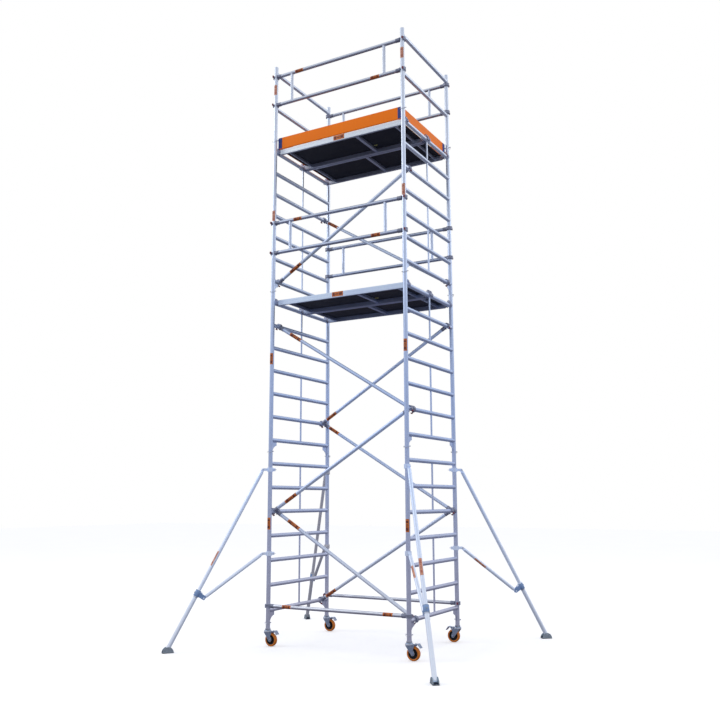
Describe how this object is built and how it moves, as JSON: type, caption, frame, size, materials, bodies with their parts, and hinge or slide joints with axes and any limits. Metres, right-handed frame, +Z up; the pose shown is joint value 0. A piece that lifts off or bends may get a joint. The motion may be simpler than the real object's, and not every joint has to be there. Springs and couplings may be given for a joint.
{
  "type": "mobile tower scaffold",
  "caption": "Tall aluminium tower scaffold of stacked ladder frames, with braces, two decks, guardrails, toe boards, braked castors and splayed stabilisers.",
  "frame": {"origin": "on the floor, at the centre of the footprint of the whole object with its stabilisers out", "axes": "+Z up, +X along the long side of the tower towards the hatch end, +Y from the front side towards the rear side"},
  "size_m": [3.6552, 3.157, 7.295],
  "materials": {
    "tube": "mill-finish aluminium tube, slightly brushed",
    "casting": "sand-cast aluminium, dull",
    "deck_alloy": "extruded aluminium, satin",
    "plywood": "dark phenolic-faced plywood",
    "toe_board": "painted board, satin",
    "clip": "moulded plastic",
    "pin_steel": "zinc-plated steel",
    "trigger": "moulded plastic",
    "fork": "pressed steel, grey",
    "core": "moulded black plastic",
    "tyre": "polyurethane, satin",
    "pedal": "moulded, pale grey",
    "leg": "mill-finish aluminium tube",
    "foot": "moulded grey foot"
  },
  "bodies": {
    "tower": {"end_frame_left_1": "tube", "end_frame_left_2": "tube", "end_frame_left_3": "tube", "end_frame_right_1": "tube", "end_frame_right_2": "tube", "end_frame_right_3": "tube", "guard_frame_left": "tube", "guard_frame_right": "tube", "spigots": "casting", "lock_pins": "pin_steel", "diagonal_braces_front": "tube", "diagonal_braces_rear": "tube", "horizontal_braces": "tube", "guardrail_front_lower": "tube", "guardrail_front_upper": "tube", "guardrail_rear_lower": "tube", "guardrail_rear_upper": "tube", "claws": "casting", "deck_frame_front_lower": "deck_alloy", "deck_frame_front_upper": "deck_alloy", "deck_frame_rear_lower": "deck_alloy", "deck_frame_rear_upper": "deck_alloy", "deck_boards": "plywood", "deck_hooks": "casting", "toe_boards_long": "toe_board", "toe_boards_short": "toe_board", "toe_board_clips": "clip", "castor_stems": "pin_steel"},
    "triggers": {"claw_triggers": "trigger"},
    "hatch_lower_panel": {"hatch_lower": "plywood"},
    "hatch_upper_panel": {"hatch_upper": "plywood"},
    "castor_front_left": {"castor_fork_front_left": "fork"},
    "wheel_front_left": {"castor_core_front_left": "core", "castor_tyre_front_left": "tyre"},
    "brake_front_left": {"brake_pedal_front_left": "pedal"},
    "stabiliser_front_left": {"stabiliser_arm_front_left": "tube"},
    "leg_front_left": {"stabiliser_leg_front_left": "leg"},
    "foot_front_left": {"stabiliser_foot_front_left": "foot"},
    "castor_front_right": {"castor_fork_front_right": "fork"},
    "wheel_front_right": {"castor_core_front_right": "core", "castor_tyre_front_right": "tyre"},
    "brake_front_right": {"brake_pedal_front_right": "pedal"},
    "stabiliser_front_right": {"stabiliser_arm_front_right": "tube"},
    "leg_front_right": {"stabiliser_leg_front_right": "leg"},
    "foot_front_right": {"stabiliser_foot_front_right": "foot"},
    "castor_rear_left": {"castor_fork_rear_left": "fork"},
    "wheel_rear_left": {"castor_core_rear_left": "core", "castor_tyre_rear_left": "tyre"},
    "brake_rear_left": {"brake_pedal_rear_left": "pedal"},
    "stabiliser_rear_left": {"stabiliser_arm_rear_left": "tube"},
    "leg_rear_left": {"stabiliser_leg_rear_left": "leg"},
    "foot_rear_left": {"stabiliser_foot_rear_left": "foot"},
    "castor_rear_right": {"castor_fork_rear_right": "fork"},
    "wheel_rear_right": {"castor_core_rear_right": "core", "castor_tyre_rear_right": "tyre"},
    "brake_rear_right": {"brake_pedal_rear_right": "pedal"},
    "stabiliser_rear_right": {"stabiliser_arm_rear_right": "tube"},
    "leg_rear_right": {"stabiliser_leg_rear_right": "leg"},
    "foot_rear_right": {"stabiliser_foot_rear_right": "foot"}
  },
  "joints": [
    {"name": "claw_trigger_pull", "type": "slide", "parent": "tower", "child": "triggers", "axis": [0, 0, -1], "range_m": [0, 0.006], "stiffness_N_per_m": 20000, "springref_m": -0.006},
    {"name": "hatch_lower_hinge", "type": "hinge", "parent": "tower", "child": "hatch_lower_panel", "pos_m": [0.497, -0.51842, 4.15829], "axis": [1, 0, 0], "range_deg": [0, 90]},
    {"name": "hatch_upper_hinge", "type": "hinge", "parent": "tower", "child": "hatch_upper_panel", "pos_m": [0.497, -0.51842, 6.15829], "axis": [1, 0, 0], "range_deg": [0, 90]},
    {"name": "castor_swivel_front_left", "type": "hinge", "parent": "tower", "child": "castor_front_left", "pos_m": [-0.925, -0.59492, 0.17], "axis": [0, 0, 1], "continuous": true},
    {"name": "wheel_spin_front_left", "type": "hinge", "parent": "castor_front_left", "child": "wheel_front_left", "pos_m": [-0.875, -0.59492, 0.075], "axis": [0, 1, 0], "continuous": true},
    {"name": "brake_press_front_left", "type": "hinge", "parent": "castor_front_left", "child": "brake_front_left", "pos_m": [-0.861, -0.59492, 0.167], "axis": [0, 1, 0], "range_deg": [0, 18]},
    {"name": "stabiliser_swing_front_left", "type": "hinge", "parent": "tower", "child": "stabiliser_front_left", "pos_m": [-0.925, -0.59492, 1.5], "axis": [0, 0, 1], "range_deg": [-35, 35]},
    {"name": "leg_slide_front_left", "type": "slide", "parent": "stabiliser_front_left", "child": "leg_front_left", "axis": [-0.2894, -0.3704, -0.8827], "range_m": [0, 0.35]},
    {"name": "foot_tilt_front_left", "type": "hinge", "parent": "leg_front_left", "child": "foot_front_left", "pos_m": [-1.63609, -1.50507, 0.045], "axis": [0.788, -0.6157, 0], "range_deg": [-25, 25]},
    {"name": "castor_swivel_front_right", "type": "hinge", "parent": "tower", "child": "castor_front_right", "pos_m": [0.925, -0.59492, 0.17], "axis": [0, 0, 1], "continuous": true},
    {"name": "wheel_spin_front_right", "type": "hinge", "parent": "castor_front_right", "child": "wheel_front_right", "pos_m": [0.975, -0.59492, 0.075], "axis": [0, 1, 0], "continuous": true},
    {"name": "brake_press_front_right", "type": "hinge", "parent": "castor_front_right", "child": "brake_front_right", "pos_m": [0.989, -0.59492, 0.167], "axis": [0, 1, 0], "range_deg": [0, 18]},
    {"name": "stabiliser_swing_front_right", "type": "hinge", "parent": "tower", "child": "stabiliser_front_right", "pos_m": [0.925, -0.59492, 1.5], "axis": [0, 0, 1], "range_deg": [-35, 35]},
    {"name": "leg_slide_front_right", "type": "slide", "parent": "stabiliser_front_right", "child": "leg_front_right", "axis": [0.2894, -0.3704, -0.8827], "range_m": [0, 0.35]},
    {"name": "foot_tilt_front_right", "type": "hinge", "parent": "leg_front_right", "child": "foot_front_right", "pos_m": [1.63609, -1.50507, 0.045], "axis": [0.788, 0.6157, 0], "range_deg": [-25, 25]},
    {"name": "castor_swivel_rear_left", "type": "hinge", "parent": "tower", "child": "castor_rear_left", "pos_m": [-0.925, 0.70508, 0.17], "axis": [0, 0, 1], "continuous": true},
    {"name": "wheel_spin_rear_left", "type": "hinge", "parent": "castor_rear_left", "child": "wheel_rear_left", "pos_m": [-0.875, 0.70508, 0.075], "axis": [0, 1, 0], "continuous": true},
    {"name": "brake_press_rear_left", "type": "hinge", "parent": "castor_rear_left", "child": "brake_rear_left", "pos_m": [-0.861, 0.70508, 0.167], "axis": [0, 1, 0], "range_deg": [0, 18]},
    {"name": "stabiliser_swing_rear_left", "type": "hinge", "parent": "tower", "child": "stabiliser_rear_left", "pos_m": [-0.925, 0.70508, 1.5], "axis": [0, 0, 1], "range_deg": [-35, 35]},
    {"name": "leg_slide_rear_left", "type": "slide", "parent": "stabiliser_rear_left", "child": "leg_rear_left", "axis": [-0.3381, 0.3265, -0.8827], "range_m": [0, 0.35]},
    {"name": "foot_tilt_rear_left", "type": "hinge", "parent": "leg_rear_left", "child": "foot_rear_left", "pos_m": [-1.75584, 1.50741, 0.045], "axis": [-0.6947, -0.7193, 0], "range_deg": [-25, 25]},
    {"name": "castor_swivel_rear_right", "type": "hinge", "parent": "tower", "child": "castor_rear_right", "pos_m": [0.925, 0.70508, 0.17], "axis": [0, 0, 1], "continuous": true},
    {"name": "wheel_spin_rear_right", "type": "hinge", "parent": "castor_rear_right", "child": "wheel_rear_right", "pos_m": [0.875, 0.70508, 0.075], "axis": [0, 1, 0], "continuous": true},
    {"name": "brake_press_rear_right", "type": "hinge", "parent": "castor_rear_right", "child": "brake_rear_right", "pos_m": [0.861, 0.70508, 0.167], "axis": [0, -1, 0], "range_deg": [0, 18]},
    {"name": "stabiliser_swing_rear_right", "type": "hinge", "parent": "tower", "child": "stabiliser_rear_right", "pos_m": [0.925, 0.70508, 1.5], "axis": [0, 0, 1], "range_deg": [-35, 35]},
    {"name": "leg_slide_rear_right", "type": "slide", "parent": "stabiliser_rear_right", "child": "leg_rear_right", "axis": [0.3381, 0.3265, -0.8827], "range_m": [0, 0.35]},
    {"name": "foot_tilt_rear_right", "type": "hinge", "parent": "leg_rear_right", "child": "foot_rear_right", "pos_m": [1.75584, 1.50741, 0.045], "axis": [-0.6947, 0.7193, 0], "range_deg": [-25, 25]}
  ]
}
